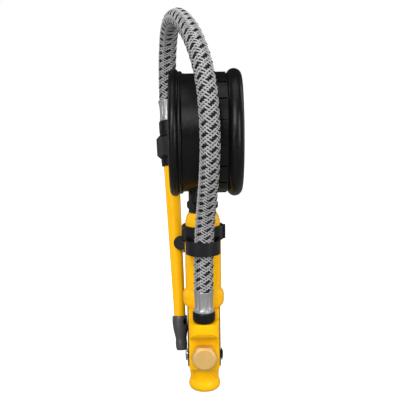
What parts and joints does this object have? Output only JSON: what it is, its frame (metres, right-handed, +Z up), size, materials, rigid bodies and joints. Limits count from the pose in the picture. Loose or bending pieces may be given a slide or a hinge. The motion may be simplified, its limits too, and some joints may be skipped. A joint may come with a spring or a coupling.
{
  "type": "hand-held tyre inflator gauge",
  "caption": "Trigger-lever tyre inflator with a rubber-booted dial gauge side-on above the grip, a looped braided hose and a straight chuck wand clipped to the back.",
  "frame": {"origin": "centre of the air inlet's bottom face", "axes": "+Z up the grip to the gauge, +X the way the gauge's dial faces, -Y the side the hose leaves, +Y the lever's side"},
  "size_m": [0.0565, 0.1143, 0.2473],
  "materials": {
    "yellow_paint": "gloss enamel over die-cast alloy",
    "brass": "machined brass",
    "phosphor_bronze": "drawn bronze tube",
    "steel": "turned steel",
    "ferrule_steel": "crimped plated steel",
    "filter_mesh": "sintered disc",
    "seal_rubber": "nitrile rubber",
    "black_metal": "satin black coating",
    "black_plastic": "moulded nylon",
    "boot_rubber": "satin moulded rubber",
    "stem_metal": "machined brass",
    "lens": "clear polycarbonate",
    "dial_white": "matt printed aluminium",
    "pointer_black": "matt black",
    "braid": "braided yarn with dark tracers",
    "chuck_metal": "satin dark coating"
  },
  "bodies": {
    "handle": {"handle_body": "yellow_paint", "hose_union": "brass", "inlet_filter": "filter_mesh", "valve_plug": "brass", "plug_seal": "seal_rubber", "valve_seat": "steel", "valve_spring": "steel", "stem_gland": "brass", "stem_seal": "seal_rubber", "pivot_pin": "steel", "pin_clip": "black_metal", "storage_clip": "black_plastic", "gauge_stem": "stem_metal", "stem_washer": "seal_rubber", "swivel_nut": "black_metal", "neck_sleeve": "black_plastic", "gauge_case": "black_metal", "gauge_boot": "boot_rubber", "gauge_bezel": "black_metal", "gauge_lens": "lens", "gauge_dial": "dial_white", "dial_screws": "steel", "bourdon_tube": "phosphor_bronze", "tip_link": "steel", "movement_plate": "brass", "movement_screws": "steel", "hose_nut": "black_metal", "lower_ferrule": "ferrule_steel", "lower_barb": "brass", "hose": "braid"},
    "lever": {"lever": "black_metal"},
    "valve": {"poppet": "brass", "poppet_seal": "seal_rubber", "valve_stem": "steel"},
    "pointer": {"pointer": "pointer_black"},
    "sector": {"sector_gear": "brass"},
    "wand": {"upper_ferrule": "ferrule_steel", "upper_barb": "brass", "hose_fitting": "black_metal", "wand_coupling": "black_metal", "wand_tube": "yellow_paint", "chuck_head": "chuck_metal", "chuck_screw": "black_metal", "chuck_seal": "seal_rubber", "chuck_spring": "steel"},
    "chuck_pin": {"chuck_pin": "brass"}
  },
  "joints": [
    {"name": "lever_squeeze", "type": "hinge", "parent": "handle", "child": "lever", "pos_m": [0, 0.006, 0.021], "axis": [1, 0, 0], "range_deg": [0, 12], "stiffness_Nm_per_rad": 0.6, "springref_deg": -8.59},
    {"name": "valve_slide", "type": "slide", "parent": "handle", "child": "valve", "axis": [0, -1, 0], "range_m": [0, 0.0014], "deforming": ["valve_spring"]},
    {"name": "pointer_spin", "type": "hinge", "parent": "handle", "child": "pointer", "pos_m": [0, 0, 0.1701], "axis": [-1, 0, 0], "range_deg": [0, 270], "stiffness_Nm_per_rad": 0.0002, "springref_deg": -22.92},
    {"name": "sector_swing", "type": "hinge", "parent": "handle", "child": "sector", "pos_m": [0, 0, 0.15567], "axis": [-1, 0, 0], "range_deg": [-34, 0]},
    {"name": "wand_unclip", "type": "hinge", "parent": "handle", "child": "wand", "pos_m": [-0.02293, 0.05475, 0.1877], "axis": [0, 1, 0], "range_deg": [0, 25], "stiffness_Nm_per_rad": 0.08, "springref_deg": -6.88, "deforming": ["hose"]},
    {"name": "chuck_pin_push", "type": "slide", "parent": "wand", "child": "chuck_pin", "axis": [-0.0447, 0.2331, 0.9714], "range_m": [0, 0.002], "stiffness_N_per_m": 300, "springref_m": -0.002, "deforming": ["chuck_spring"]}
  ],
  "couplings": [
    {"joint": "valve_slide", "follows": "lever_squeeze", "m_per_rad": 0.0065},
    {"joint": "sector_swing", "follows": "pointer_spin", "ratio": -0.125}
  ]
}
